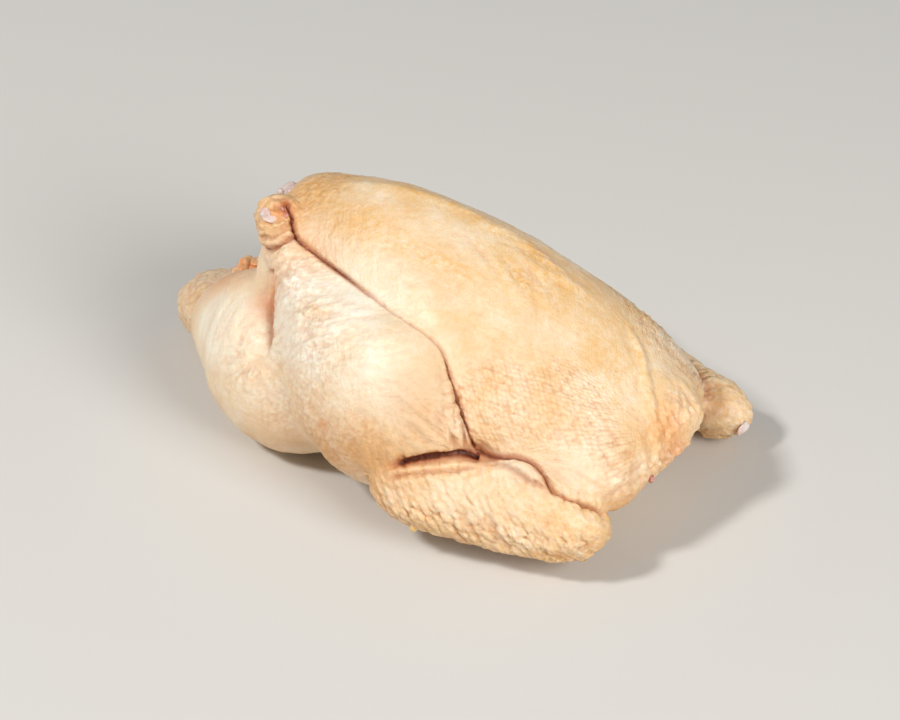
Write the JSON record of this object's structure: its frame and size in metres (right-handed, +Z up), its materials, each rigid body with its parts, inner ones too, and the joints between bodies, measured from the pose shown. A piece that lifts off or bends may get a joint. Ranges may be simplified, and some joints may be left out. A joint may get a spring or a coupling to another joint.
{
  "type": "whole raw chicken",
  "caption": "Whole plucked and drawn raw chicken lying on its back, breast up, with folded wings, tucked legs, a short tail and a rear opening.",
  "frame": {"origin": "on the table, under the middle of the bird's back", "axes": "+X to the neck, +Y to the bird's right side, +Z up through the breast"},
  "size_m": [0.2572, 0.1732, 0.1092],
  "materials": {
    "skin": "moist raw poultry skin, cream with yellow fat showing through and a soft wet sheen"
  },
  "bodies": {
    "root": {"raw_chicken": "skin"}
  },
  "joints": []
}
